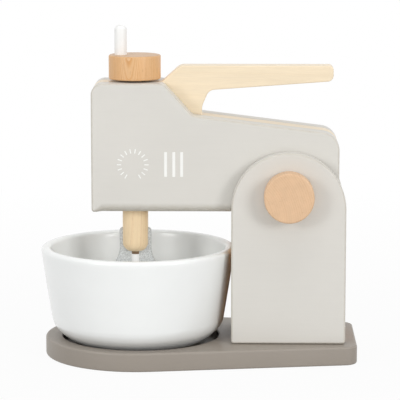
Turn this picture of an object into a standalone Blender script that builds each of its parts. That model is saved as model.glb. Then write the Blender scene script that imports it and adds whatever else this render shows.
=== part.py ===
"""Wooden toy stand mixer, in metres with +Z up.

The bowl stands towards -X and the column towards +X, and the front faces -Y.
The origin lies on the table, under the middle of the whole toy.
"""
import math

import bmesh
import bpy
from mathutils import Matrix, Vector

# Clearances and cuts
fit_gap = 0.0003
running_gap = 0.00075
overrun = 0.002
facet_sag = 0.00015
merge_distance = 0.000005

# Base board
base_thickness = 0.0155
base_rim_inset = 0.0032
base_end_margin = 0.0098
base_side_margin = 0.00805
base_corner_radius = 0.011
base_edge_radius = 0.0018
pocket_draw = 0.015
pocket_offset = 0.0022
pocket_depth = 0.008
pocket_chamfer = 0.0008

# Mixing bowl
bowl_rim_radius = 0.0802
bowl_rim_height = 0.0905
bowl_belly_draw = 0.0039
bowl_belly_height_share = 0.663
bowl_heel_draw = 0.0095
bowl_heel_rise = 0.0172
bowl_heel_rounding = 0.019
bowl_foot_draw = 0.0277
bowl_foot_rounding = 0.043
bowl_wall = 0.0074
bowl_rim_rounding = 0.003
bowl_belly_rounding = 0.3

# Column
column_width = 0.0934
bowl_panel_gap = 0.0036
cheek_thickness = 0.013
cheek_corner_radius = 0.0024
board_edge_radius = 0.0018
glued_rim_share = 0.2
panel_thickness = 0.012
front_panel_inset = 0.0062
rear_panel_inset = 0.003
panel_edge_radius = 0.0008

# Head boards
board_thickness = 0.018
head_height = 0.1055
head_clearance = 0.0318
neck_fall = 0.0262
tail_fall = 0.0412
nose_reach = 0.0348
tail_reach = 0.0413
brow_reach = 0.0242
neck_reach = 0.0477
nose_radius = 0.0092
brow_radius = 0.006
neck_radius = 0.007
tail_radius = 0.015
tail_foot_radius = 0.012
nose_foot_radius = 0.0025

# Handle, cut in one piece with the middle board
handle_rise = 0.0132
handle_knob_gap = 0.0012
handle_shoulder_run = 0.0148
handle_tail_setback = 0.0046
handle_end_thickness = 0.0127
handle_end_top_share = 0.28
handle_end_low_share = 0.40
handle_root_thickness = 0.0201
handle_throat_overhang = 0.0060
handle_neck_setback = 0.0075
handle_waist_height = 0.0067
handle_foot_radius = 0.002
handle_shoulder_radius = 0.009
handle_throat_radius = 0.007
handle_waist_radius = 0.016
handle_crotch_radius = 0.0015
handle_edge_radius = 0.001

# Pivot
pivot_drop = 0.0345
pivot_above_head_foot = 0.0163
axle_radius = 0.007
pivot_knob_radius = 0.02035
pivot_knob_thickness = 0.0162
knob_bore_depth = 0.010
knob_edge_radius = 0.0014
knob_gap = 0.0005
open_angle = math.radians(75)

# Crank, drive rod and beater
mixer_offset = 0.002
top_knob_radius = 0.0214
top_knob_height = 0.020
top_knob_lift = 0.0015
washer_radius = 0.012
peg_radius = 0.0051
peg_offset = 0.0115
peg_rise = 0.0242
peg_bore_depth = 0.010
peg_tip_radius = 0.004
rod_radius = 0.005
rod_knob_depth = 0.009
rod_shaft_depth = 0.012
shaft_radius = 0.0106
shaft_length = 0.0362
shaft_tip_radius = 0.0075
shaft_gap = 0.0005

# Beater blade and its centre rod
blade_thickness = 0.004
blade_top_drop = 0.0168
blade_neck_width = 0.0262
blade_neck_drop = 0.0378
blade_hip_width = 0.058
blade_hip_rise = 0.020
blade_toe_width = 0.034
blade_floor_gap = 0.0148
blade_top_radius = 0.0025
blade_neck_radius = 0.018
blade_hip_radius = 0.010
blade_toe_radius = 0.009
blade_edge_radius = 0.0005
centre_rod_radius = 0.0033
centre_rod_length = 0.042
centre_rod_inset = 0.008
centre_rod_tip_radius = 0.0012

# Dowels and screws
panel_dowel_radius = 0.003
panel_dowel_length = 0.022
panel_dowel_cheek_depth = 0.009
panel_dowel_shares = (0.22, 0.78)
head_dowel_radius = 0.004
head_dowel_length = 0.038
head_dowel_shares = ((0.25, 0.24), (0.25, 0.80), (0.60, 0.50))
dowel_chamfer = 0.0008
screw_head_radius = 0.004
screw_shank_radius = 0.002
screw_cone_height = 0.0025
screw_length = 0.034
screw_point = 0.003
screw_sink = 0.0004
screw_spread_share = 0.62

# Facets of round pieces
bowl_facets = 64
knob_facets = 48
shaft_facets = 36
dowel_facets = 24
pin_facets = 12

# Places that follow from the sizes, along the toy
base_reach = (bowl_rim_radius + bowl_panel_gap - front_panel_inset + column_width
              + base_end_margin)
bowl_x = (bowl_rim_radius - base_reach) / 2
pocket_x = bowl_x + pocket_offset
base_end_x = bowl_x + base_reach
column_x = base_end_x - base_end_margin - column_width / 2
front_panel_x = column_x - column_width / 2 + front_panel_inset + panel_thickness / 2
rear_panel_x = column_x + column_width / 2 - rear_panel_inset - panel_thickness / 2
mixer_x = bowl_x - mixer_offset
nose_x = mixer_x - nose_reach
head_end_x = column_x + tail_reach

# Places across the toy
head_half = 1.5 * board_thickness
cheek_inner = head_half + running_gap
cheek_outer = cheek_inner + cheek_thickness
base_end_half = cheek_outer + base_side_margin
base_round_radius = bowl_rim_radius - base_rim_inset
bowl_belly_radius = bowl_rim_radius - bowl_belly_draw
bowl_foot_radius = bowl_rim_radius - bowl_foot_draw
bowl_heel_radius = bowl_rim_radius - bowl_heel_draw
pocket_radius = bowl_rim_radius - pocket_draw

# Heights
pocket_floor_z = base_thickness - pocket_depth
column_foot_z = base_thickness + fit_gap
bowl_foot_z = pocket_floor_z + fit_gap
bowl_heel_z = bowl_foot_z + bowl_heel_rise
bowl_floor_z = bowl_foot_z + bowl_wall
bowl_belly_z = bowl_belly_height_share * bowl_rim_height
head_foot_z = bowl_rim_height + head_clearance
head_top_z = head_foot_z + head_height
pivot_z = head_foot_z + pivot_above_head_foot
column_top_z = pivot_z + pivot_drop
knob_foot_z = head_top_z + top_knob_lift
knob_top_z = knob_foot_z + top_knob_height
shaft_top_z = head_foot_z - shaft_gap
shaft_tip_z = shaft_top_z - shaft_length
blade_top_z = head_foot_z - blade_top_drop
blade_bottom_z = bowl_floor_z + blade_floor_gap


def clear_scene():
    """Remove every object, so that the file builds the same model each time."""
    for thing in list(bpy.data.objects):
        bpy.data.objects.remove(thing, do_unlink=True)


def linear(channel):
    """Turn one screen colour channel, 0 to 255, into the linear value of a shader."""
    value = channel / 255
    return value / 12.92 if value <= 0.04045 else ((value + 0.055) / 1.055) ** 2.4


def finish(name, screen_colour, roughness, metallic=0.0):
    """Return a Principled material of one screen colour."""
    material = bpy.data.materials.new(name)
    material.use_nodes = True
    shader = material.node_tree.nodes["Principled BSDF"]
    colour = [linear(channel) for channel in screen_colour]
    shader.inputs["Base Color"].default_value = (*colour, 1)
    shader.inputs["Roughness"].default_value = roughness
    shader.inputs["Metallic"].default_value = metallic
    material.diffuse_color = (*colour, 1)
    return material


def grey_paint():
    return finish("grey_paint", (221, 217, 211), 0.55)


def taupe_paint():
    return finish("taupe_paint", (163, 156, 149), 0.55)


def white_paint():
    return finish("white_paint", (243, 243, 240), 0.35)


def silver_paint():
    return finish("silver_paint", (182, 185, 187), 0.5, 0.3)


def beech():
    return finish("beech", (224, 182, 135), 0.5)


def pale_wood():
    return finish("pale_wood", (244, 229, 203), 0.55)


def dowel_wood():
    return finish("dowel_wood", (233, 207, 168), 0.5)


def steel():
    return finish("steel", (190, 190, 192), 0.3, 1.0)


def nylon():
    return finish("nylon", (120, 112, 104), 0.4)


def arc_step(radius):
    """Return the largest turn whose chord stays within the facet sag of its arc."""
    return 2 * math.acos(1 - min(facet_sag / radius, 0.5))


def rounded_outline(corners):
    """Return the points of an outline given as (x, y, radius) corners."""
    points = []
    for index, (x, y, radius) in enumerate(corners):
        corner = Vector((x, y))
        if radius == 0:
            points.append(corner)
            continue
        before = (Vector(corners[index - 1][:2]) - corner).normalized()
        after = (Vector(corners[(index + 1) % len(corners)][:2]) - corner).normalized()
        half_angle = before.angle(after) / 2
        centre = corner + (before + after).normalized() * radius / math.sin(half_angle)
        start = corner + before * radius / math.tan(half_angle) - centre
        turn = math.pi - 2 * half_angle
        if before.x * after.y - before.y * after.x > 0:
            turn = -turn
        steps = max(2, math.ceil(abs(turn) / arc_step(radius)))
        for step in range(steps + 1):
            points.append(centre + Matrix.Rotation(turn * step / steps, 2) @ start)
    return [point for index, point in enumerate(points)
            if (point - points[index - 1]).length > merge_distance]


def add_object(name, work, material, place=(0, 0, 0)):
    """Turn a bmesh into an object at its place, with its faces pointing out."""
    bmesh.ops.recalc_face_normals(work, faces=work.faces)
    mesh = bpy.data.meshes.new(name)
    work.to_mesh(mesh)
    work.free()
    thing = bpy.data.objects.new(name, mesh)
    bpy.context.collection.objects.link(thing)
    thing.location = place
    if material:
        mesh.materials.append(material)
    return thing


def make_board(name, outline, low, high, material, upright=True, weights=(1, 1)):
    """Extrude an outline: along Y from low to high if it stands upright, else along Z.

    The weights say how much of its rounding each rim gets, at low and at high.
    """
    work = bmesh.new()
    if upright:
        corners = [work.verts.new((point.x, low, point.y)) for point in outline]
        step = Vector((0, high - low, 0))
    else:
        corners = [work.verts.new((point.x, point.y, low)) for point in outline]
        step = Vector((0, 0, high - low))
    face = work.faces.new(corners)
    raised = bmesh.ops.extrude_face_region(work, geom=[face])["geom"]
    moved = [item for item in raised if isinstance(item, bmesh.types.BMVert)]
    bmesh.ops.translate(work, verts=moved, vec=step)
    rounding = work.edges.layers.float.new("bevel_weight_edge")
    for edge in work.edges:
        raised_ends = sum(vert in moved for vert in edge.verts)
        edge[rounding] = {0: weights[0], 1: 0, 2: weights[1]}[raised_ends]
    thing = add_object(name, work, material)
    shade_round(thing)
    return thing


def make_turned(name, profile, facets, material, place=(0, 0, 0), axis="Z"):
    """Spin an open (radius, height) profile, from axis to axis, into a closed round piece."""
    work = bmesh.new()
    points = [work.verts.new((radius, 0, height)) for radius, height in profile]
    edges = [work.edges.new(pair) for pair in zip(points, points[1:])]
    bmesh.ops.spin(work, geom=points + edges, axis=(0, 0, 1), cent=(0, 0, 0),
                   angle=2 * math.pi, steps=facets, use_merge=True)
    bmesh.ops.remove_doubles(work, verts=work.verts, dist=merge_distance)
    if axis == "Y":
        bmesh.ops.rotate(work, verts=work.verts, matrix=Matrix.Rotation(-math.pi / 2, 3, "X"))
    thing = add_object(name, work, material, place)
    shade_round(thing)
    return thing


def make_pin(name, radius, low, high, rounding, facets, material, place=(0, 0, 0), axis="Z"):
    """Turn a plain round pin or disc with rounded or, at no radius, sharp rims."""
    profile = rounded_outline([(0, low, 0), (radius, low, rounding),
                               (radius, high, rounding), (0, high, 0)])
    return make_turned(name, profile, facets, material, place, axis)


def make_dowel(name, radius, low, high, facets, material, place=(0, 0, 0), axis="Z"):
    """Turn a dowel with a plain chamfer at both ends."""
    profile = [(0, low), (radius - dowel_chamfer, low), (radius, low + dowel_chamfer),
               (radius, high - dowel_chamfer), (radius - dowel_chamfer, high), (0, high)]
    return make_turned(name, profile, facets, material, place, axis)


def shade_round(thing):
    """Shade curved sides smooth and keep the rims crisp."""
    thing.data.shade_smooth()
    thing.data.set_sharp_from_angle(angle=math.radians(35))


def round_edges(thing, radius, segments=2):
    """Round the rims of a board, and leave the facets of its curved sides alone."""
    bevel = thing.modifiers.new("rounded_rims", "BEVEL")
    bevel.width = radius
    bevel.segments = segments
    bevel.limit_method = "WEIGHT"
    bevel.use_clamp_overlap = False


def cut(thing, cutter):
    """Cut one piece by a cutter that the finished model leaves out."""
    cutter.hide_render = True
    cutter.display_type = "WIRE"
    hole = thing.modifiers.new("cut_" + cutter.name, "BOOLEAN")
    hole.operation = "DIFFERENCE"
    hole.object = cutter
    hole.solver = "EXACT"


def column_corners(foot):
    """Return the outline of a cheek, a board with a half-round top, above its foot."""
    half = column_width / 2
    return [(column_x - half, foot, cheek_corner_radius),
            (column_x - half, column_top_z, half),
            (column_x + half, column_top_z, half),
            (column_x + half, foot, cheek_corner_radius)]


def head_side_corners():
    """Return the outline of an outer head board, from its nose foot round to its tail foot."""
    return [(nose_x, head_foot_z, nose_foot_radius),
            (nose_x, head_top_z, nose_radius),
            (mixer_x + brow_reach, head_top_z, brow_radius),
            (mixer_x + neck_reach, head_top_z - neck_fall, neck_radius),
            (head_end_x, head_top_z - tail_fall, tail_radius),
            (head_end_x, head_foot_z, tail_foot_radius)]


def head_line_height(x):
    """Return the height of the head's sloping back at x."""
    neck_x = mixer_x + neck_reach
    share = (x - neck_x) / (head_end_x - neck_x)
    return head_top_z - neck_fall - share * (tail_fall - neck_fall)


def core_corners():
    """Return the outline of the middle board, with the handle standing on the head."""
    handle_top = head_top_z + handle_rise
    handle_foot_x = mixer_x + top_knob_radius + handle_knob_gap
    handle_end_x = head_end_x - handle_tail_setback
    waist_x = mixer_x + neck_reach + handle_neck_setback
    crotch_z = head_line_height(waist_x)
    return [(nose_x, head_foot_z, nose_foot_radius),
            (nose_x, head_top_z, nose_radius),
            (handle_foot_x, head_top_z, handle_foot_radius),
            (handle_foot_x + handle_shoulder_run, handle_top, handle_shoulder_radius),
            (handle_end_x, handle_top, handle_end_top_share * handle_end_thickness),
            (handle_end_x, handle_top - handle_end_thickness,
             handle_end_low_share * handle_end_thickness),
            (waist_x + handle_throat_overhang, handle_top - handle_root_thickness,
             handle_throat_radius),
            (waist_x, crotch_z + handle_waist_height, handle_waist_radius),
            (waist_x, crotch_z, handle_crotch_radius),
            (head_end_x, head_top_z - tail_fall, tail_radius),
            (head_end_x, head_foot_z, tail_foot_radius)]


def base_corners():
    """Return the base outline: two edges that close in, round the bowl's circle, on the end."""
    to_corner = math.hypot(base_reach, base_end_half)
    taper = math.asin(base_round_radius / to_corner) - math.atan2(base_end_half, base_reach)
    round_half = base_end_half + (base_reach + base_round_radius) * math.tan(taper)
    round_x = bowl_x - base_round_radius
    return [(round_x, -round_half, base_round_radius),
            (base_end_x, -base_end_half, base_corner_radius),
            (base_end_x, base_end_half, base_corner_radius),
            (round_x, round_half, base_round_radius)]


def make_base_board(material):
    """Make the base board with the blind pocket that the bowl stands in."""
    board = make_board("base_board", rounded_outline(base_corners()), 0, base_thickness,
                       material, upright=False)
    round_edges(board, base_edge_radius)
    flare = pocket_chamfer + overrun
    profile = rounded_outline([(0, pocket_floor_z, 0), (pocket_radius, pocket_floor_z, 0),
                               (pocket_radius, base_thickness - pocket_chamfer, 0),
                               (pocket_radius + flare, base_thickness + overrun, 0),
                               (0, base_thickness + overrun, 0)])
    cut(board, make_turned("pocket_space", profile, bowl_facets, None, (pocket_x, 0, 0)))
    return board


def make_cheek(name, side, material):
    """Make one cheek of the column: side is -1 for the front one and 1 for the rear one."""
    low, high = sorted((side * cheek_inner, side * cheek_outer))
    board = make_board(name, rounded_outline(column_corners(column_foot_z)), low, high, material)
    round_edges(board, board_edge_radius)
    return board


def make_panel(name, x, top, material):
    """Make one of the two panels that hold the cheeks apart."""
    half = panel_thickness / 2
    outline = rounded_outline([(x - half, column_foot_z, 0), (x + half, column_foot_z, 0),
                               (x + half, top, 0), (x - half, top, 0)])
    width = cheek_inner - fit_gap
    board = make_board(name, outline, -width, width, material)
    round_edges(board, panel_edge_radius, 1)
    return board


def rear_panel_top():
    """Return how high the rear panel may rise for the head's tail to lean on it when open."""
    inner_reach = rear_panel_x - panel_thickness / 2 - column_x
    rise = (inner_reach - tail_reach * math.cos(open_angle)) / math.tan(open_angle)
    return pivot_z - tail_reach * math.sin(open_angle) + rise - fit_gap / math.sin(open_angle)


def make_head_board(name, side, material):
    """Make one outer board of the head, rounded well on its outer face only."""
    inner, outer = board_thickness / 2 + fit_gap, head_half
    low, high = sorted((side * inner, side * outer))
    weights = (glued_rim_share, 1) if side > 0 else (1, glued_rim_share)
    board = make_board(name, rounded_outline(head_side_corners()), low, high, material,
                       weights=weights)
    round_edges(board, board_edge_radius)
    return board


def make_core_board(material):
    """Make the head's middle board, which carries the handle."""
    half = board_thickness / 2
    board = make_board("head_core_board", rounded_outline(core_corners()), -half, half, material)
    round_edges(board, handle_edge_radius)
    return board


def inner_corner(before, corner, after, depth):
    """Corner of the outline that runs inside a corner's two edges, at an even depth."""
    ahead = (Vector(corner) - Vector(before)).normalized()
    onward = (Vector(after) - Vector(corner)).normalized()
    side = Vector((-ahead.y, ahead.x))
    next_side = Vector((-onward.y, onward.x))
    return Vector(corner) + (side + next_side) * depth / (1 + side.dot(next_side))


def make_bowl(material):
    """Turn the bowl: outside from foot to rim, over the round rim, and down the inside."""
    foot = (bowl_foot_radius, bowl_foot_z)
    heel = (bowl_heel_radius, bowl_heel_z)
    belly = (bowl_belly_radius, bowl_belly_z)
    inner_foot = inner_corner((0, bowl_foot_z), foot, heel, bowl_wall)
    inner_heel = inner_corner(foot, heel, belly, bowl_wall)
    profile = rounded_outline([
        (0, bowl_foot_z, 0),
        (*foot, bowl_foot_rounding),
        (*heel, bowl_heel_rounding),
        (*belly, bowl_belly_rounding),
        (bowl_rim_radius, bowl_rim_height - bowl_rim_rounding, 0),
        (bowl_rim_radius, bowl_rim_height, bowl_rim_rounding),
        (bowl_rim_radius - bowl_wall, bowl_rim_height, bowl_rim_rounding),
        (bowl_belly_radius - bowl_wall, bowl_belly_z, bowl_belly_rounding),
        (*inner_heel, bowl_heel_rounding - bowl_wall),
        (*inner_foot, bowl_foot_rounding - bowl_wall),
        (0, bowl_floor_z, 0)])
    return make_turned("mixing_bowl", profile, bowl_facets, material, (bowl_x, 0, 0))


def make_pivot(material, knob_material):
    """Make the pivot axle with a knob on each end, and the space that it needs."""
    half = cheek_outer + knob_gap + knob_bore_depth
    place = (column_x, 0, pivot_z)
    axle = make_dowel("pivot_axle", axle_radius, -half, half, dowel_facets, material, place, "Y")
    space = make_pin("axle_space", axle_radius + fit_gap, -half - fit_gap, half + fit_gap, 0,
                     dowel_facets, None, place, "Y")
    knobs = []
    for name, side in (("pivot_knob_front", -1), ("pivot_knob_back", 1)):
        inner = cheek_outer + knob_gap
        low, high = sorted((side * inner, side * (inner + pivot_knob_thickness)))
        knobs.append(make_pin(name, pivot_knob_radius, low, high, knob_edge_radius,
                              knob_facets, knob_material, place, "Y"))
    return axle, knobs, space


def make_top_knob(material):
    return make_pin("top_knob", top_knob_radius, knob_foot_z, knob_top_z, knob_edge_radius,
                    knob_facets, material, (mixer_x, 0, 0))


def make_washer(material):
    return make_pin("knob_washer", washer_radius, head_top_z + fit_gap, knob_foot_z - fit_gap, 0,
                    dowel_facets, material, (mixer_x, 0, 0))


def make_peg(material):
    """Make the crank peg and the space for it in the top knob."""
    low = knob_top_z - peg_bore_depth
    high = knob_top_z + peg_rise
    place = (mixer_x - peg_offset, 0, 0)
    profile = rounded_outline([(0, low, 0), (peg_radius, low, 0),
                               (peg_radius, high, peg_tip_radius), (0, high, 0)])
    peg = make_turned("crank_peg", profile, dowel_facets, material, place)
    space = make_pin("peg_space", peg_radius + fit_gap, low - fit_gap, high + overrun, 0,
                     dowel_facets, None, place)
    return peg, space


def make_drive_rod(material):
    """Make the rod that joins top knob and beater shaft, and the space for it."""
    low = shaft_top_z - rod_shaft_depth
    high = knob_foot_z + rod_knob_depth
    place = (mixer_x, 0, 0)
    rod = make_dowel("drive_rod", rod_radius, low, high, dowel_facets, material, place)
    space = make_pin("rod_space", rod_radius + fit_gap, low - fit_gap, high + fit_gap, 0,
                     dowel_facets, None, place)
    return rod, space


def make_beater_shaft(material):
    """Make the thick dowel under the head, with its rounded tip."""
    profile = rounded_outline([(0, shaft_tip_z, 0), (shaft_radius, shaft_tip_z, shaft_tip_radius),
                               (shaft_radius, shaft_top_z, 0), (0, shaft_top_z, 0)])
    return make_turned("beater_shaft", profile, shaft_facets, material, (mixer_x, 0, 0))


def make_blade(material):
    """Make the flat beater blade, and the slot for it in the shaft."""
    right = [(blade_neck_width / 2, blade_top_z, blade_top_radius),
             (blade_neck_width / 2, head_foot_z - blade_neck_drop, blade_neck_radius),
             (blade_hip_width / 2, blade_bottom_z + blade_hip_rise, blade_hip_radius),
             (blade_toe_width / 2, blade_bottom_z, blade_toe_radius)]
    left = [(-x, z, radius) for x, z, radius in reversed(right)]
    outline = rounded_outline([(mixer_x + x, z, radius) for x, z, radius in right + left])
    half = blade_thickness / 2
    blade = make_board("beater_blade", outline, -half, half, material)
    round_edges(blade, blade_edge_radius, 1)
    slot = make_block("blade_space", (mixer_x, 0), shaft_radius + overrun, half + fit_gap,
                      shaft_tip_z - overrun, blade_top_z + fit_gap)
    return blade, slot


def make_centre_rod(material):
    """Make the white rod under the shaft's tip, its bore in the shaft and slot in the blade."""
    high = shaft_tip_z + centre_rod_inset
    low = high - centre_rod_length
    place = (mixer_x, 0, 0)
    rod = make_pin("beater_centre_rod", centre_rod_radius, low, high, centre_rod_tip_radius,
                   pin_facets, material, place)
    half = centre_rod_radius + fit_gap
    bore = make_pin("centre_rod_space", half, low - fit_gap, high + fit_gap, 0, pin_facets, None,
                    place)
    slot = make_block("centre_rod_slot", (mixer_x, 0), half, blade_thickness,
                      low - fit_gap, high + fit_gap)
    return rod, bore, slot


def make_block(name, centre, half_x, half_y, low, high):
    """Make a plain block, used as a cutter."""
    x, y = centre
    outline = [Vector((x + side, height)) for side, height in
               ((-half_x, low), (half_x, low), (half_x, high), (-half_x, high))]
    return make_board(name, outline, y - half_y, y + half_y, None)


def make_panel_dowels(panel_name, x, top, material):
    """Make the four blind dowels of one panel, two into each cheek, with their spaces."""
    made = []
    for cheek_name, side in (("front", -1), ("back", 1)):
        outer = side * (cheek_inner + panel_dowel_cheek_depth)
        low, high = sorted((outer, outer - side * panel_dowel_length))
        for number, share in enumerate(panel_dowel_shares, 1):
            place = (x, 0, column_foot_z + share * (top - column_foot_z))
            name = f"{panel_name}_dowel_{cheek_name}_{number}"
            dowel = make_dowel(name, panel_dowel_radius, low, high, pin_facets, material, place,
                               "Y")
            space = make_pin(name + "_space", panel_dowel_radius + fit_gap, low - fit_gap,
                             high + fit_gap, 0, pin_facets, None, place, "Y")
            made.append((dowel, space, cheek_name))
    return made


def make_head_dowels(material):
    """Make the blind dowels that hold the three head boards together, with their spaces."""
    half = head_dowel_length / 2
    made = []
    for number, (along, up) in enumerate(head_dowel_shares, 1):
        place = (nose_x + along * (head_end_x - nose_x), 0, head_foot_z + up * head_height)
        name = f"head_dowel_{number}"
        dowel = make_dowel(name, head_dowel_radius, -half, half, pin_facets, material, place,
                           "Y")
        space = make_pin(name + "_space", head_dowel_radius + fit_gap, -half - fit_gap,
                         half + fit_gap, 0, pin_facets, None, place, "Y")
        made.append((dowel, space))
    return made


def screw_profile(grow):
    """Return a countersunk screw's profile, grown on every side for the space around it."""
    head_z = screw_sink - grow
    neck_z = screw_sink + screw_cone_height
    tip_z = screw_sink + screw_length + grow
    foot_z = -overrun if grow else head_z
    outline = [(0, foot_z), (screw_head_radius + grow, foot_z),
               (screw_head_radius + grow, head_z), (screw_shank_radius + grow, neck_z),
               (screw_shank_radius + grow, tip_z - screw_point), (0, tip_z)]
    return [point for index, point in enumerate(outline) if index != 2 or grow]


def make_base_screws(material):
    """Make the four screws that hold the base board to the cheeks, with their spaces."""
    made = []
    y = (cheek_inner + cheek_outer) / 2
    reach = screw_spread_share * column_width / 2
    for name, side in (("front", -1), ("back", 1)):
        for number, along in enumerate((-reach, reach), 1):
            place = (column_x + along, side * y, 0)
            screw = make_turned(f"base_screw_{name}_{number}", screw_profile(0), pin_facets,
                                material, place)
            space = make_turned(screw.name + "_space", screw_profile(fit_gap), pin_facets, None,
                                place)
            made.append((screw, space, name))
    return made


def carry(name, place, pieces):
    """Hang pieces on an empty that stands on their joint's axis."""
    empty = bpy.data.objects.new(name, None)
    empty.empty_display_size = axle_radius
    bpy.context.collection.objects.link(empty)
    empty.location = place
    for piece in pieces:
        piece.parent = empty
        piece.matrix_parent_inverse = Matrix.Translation(place).inverted()
    return empty


def build_stand(grey, taupe, panel_wood, wood, metal):
    """Build the base and the column, and return the column's cheeks."""
    base = make_base_board(taupe)
    cheeks = {"front": make_cheek("column_cheek_front", -1, grey),
              "back": make_cheek("column_cheek_back", 1, grey)}
    for name, x, top in (("front_panel", front_panel_x, head_foot_z - fit_gap),
                         ("rear_panel", rear_panel_x, rear_panel_top())):
        panel = make_panel("column_" + name, x, top, panel_wood)
        for dowel, space, cheek_name in make_panel_dowels(name, x, top, wood):
            cut(panel, space)
            cut(cheeks[cheek_name], space)
    for screw, space, cheek_name in make_base_screws(metal):
        cut(base, space)
        cut(cheeks[cheek_name], space)
    return cheeks


def build_head(grey, core_wood, wood):
    """Build the head's three boards and their dowels."""
    boards = [make_head_board("head_board_front", -1, grey), make_core_board(core_wood),
              make_head_board("head_board_back", 1, grey)]
    loose = []
    for dowel, space in make_head_dowels(wood):
        loose += [dowel, space]
        for board in boards:
            cut(board, space)
    return boards, loose


def build_mixer(core_board, knob_wood, shaft_wood, white, silver, washer_material):
    """Build what turns with the crank, and bore the head's middle board for it."""
    knob = make_top_knob(knob_wood)
    washer = make_washer(washer_material)
    peg, peg_space = make_peg(white)
    rod, rod_space = make_drive_rod(shaft_wood)
    shaft = make_beater_shaft(shaft_wood)
    blade, blade_space = make_blade(silver)
    centre_rod, bore, slot = make_centre_rod(white)
    for piece, space in ((knob, rod_space), (knob, peg_space), (washer, rod_space),
                         (core_board, rod_space), (shaft, rod_space), (shaft, blade_space),
                         (shaft, bore), (blade, slot)):
        cut(piece, space)
    return [knob, washer, peg, peg_space, rod, rod_space, shaft, blade, blade_space,
            centre_rod, bore, slot]


def build_mixer_toy():
    """Build the whole toy and hang each moving group on its joint's axis."""
    grey = grey_paint()
    white = white_paint()
    knob_wood = beech()
    shaft_wood = dowel_wood()
    cheeks = build_stand(grey, taupe_paint(), knob_wood, shaft_wood, steel())
    boards, head_loose = build_head(grey, pale_wood(), shaft_wood)
    axle, knobs, axle_space = make_pivot(shaft_wood, knob_wood)
    for piece in [*cheeks.values(), *boards, *knobs]:
        cut(piece, axle_space)
    mixer = build_mixer(boards[1], knob_wood, shaft_wood, white, silver_paint(), nylon())
    carry("head_tilt_axis", (column_x, 0, pivot_z), [*boards, *head_loose])
    carry("pivot_knob_axis", (column_x, 0, pivot_z), [axle, *knobs, axle_space])
    carry("mixer_axis", (mixer_x, 0, head_foot_z), mixer)
    carry("bowl_axis", (bowl_x, 0, pocket_floor_z), [make_bowl(white)])


clear_scene()
build_mixer_toy()
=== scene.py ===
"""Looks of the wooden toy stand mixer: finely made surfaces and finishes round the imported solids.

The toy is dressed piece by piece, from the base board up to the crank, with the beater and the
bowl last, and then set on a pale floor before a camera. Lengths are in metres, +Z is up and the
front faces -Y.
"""
import math

import bmesh
import bpy
import numpy as np
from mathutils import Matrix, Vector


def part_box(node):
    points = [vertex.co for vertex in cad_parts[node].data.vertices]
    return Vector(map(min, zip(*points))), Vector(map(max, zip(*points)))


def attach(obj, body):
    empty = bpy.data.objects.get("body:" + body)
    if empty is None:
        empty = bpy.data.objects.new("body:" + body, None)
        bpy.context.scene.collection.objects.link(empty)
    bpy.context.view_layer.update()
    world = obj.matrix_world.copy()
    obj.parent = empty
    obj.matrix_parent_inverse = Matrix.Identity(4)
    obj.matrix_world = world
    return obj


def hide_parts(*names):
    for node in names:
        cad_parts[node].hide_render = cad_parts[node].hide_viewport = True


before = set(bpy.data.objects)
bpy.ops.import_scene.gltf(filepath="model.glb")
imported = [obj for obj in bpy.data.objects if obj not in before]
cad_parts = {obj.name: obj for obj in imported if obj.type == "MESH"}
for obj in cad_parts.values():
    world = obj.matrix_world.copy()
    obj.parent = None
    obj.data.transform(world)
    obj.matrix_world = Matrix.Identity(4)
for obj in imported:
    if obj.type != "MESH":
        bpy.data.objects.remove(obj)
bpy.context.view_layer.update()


# Base board: one flat board of painted wood. Its nose follows the bowl, its top has a turned
# pocket for the bowl's foot, and four screws go up into it from recesses in its underside. Its
# rims are sanded round under a taupe satin paint.
base_end_half = 0.0488
base_end_corner = 0.011
base_rim = 0.0018
pocket_radius = 0.0652
pocket_offset = 0.0022
pocket_depth = 0.008
pocket_chamfer = 0.0008
pocket_fillet = 0.0006
taupe = (0.312, 0.274, 0.234)
taupe_worn = (0.335, 0.296, 0.255)
taupe_coat = 0.16
# Painted shade: a dark brown laid on the pocket's wall and floor, where the bowl's foot shades them.
pocket_painted_shade = (0.060, 0.047, 0.038)
pocket_floor_shares = (0.6, 0.1)
pocket_rubbing = (0, 0, 0.2, 0.6, 0.3)
# Share of that painted shade for each ring of the pocket, from its rim down to its middle.
pocket_shade_shares = (0.3, 0.85, 0.85, 0.85, 0.7, 0.45, 0.1, 0)
top_ring_shares = (0.3, 0.65)
flat_margin = 0.0004
sharp_angle = math.radians(40)
recess_radius = 0.0044
recess_neck = 0.0023
recess_cone = 0.0029
recess_clearance = 0.0002
recess_overrun = 0.001
recess_segments = 48
base_chord, base_run = 0.0007, 0.0012
fillet_points = 5
same_spot = 1e-7
fewest_arc_steps = 4
whole_edge = 1.0


def tidy_outline(points, normals):
    """Drop each point that lies on the one before it, as where two arcs meet."""
    apart = np.linalg.norm(points - np.roll(points, 1, 0), axis=1) > same_spot
    return points[apart], normals[apart]


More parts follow.
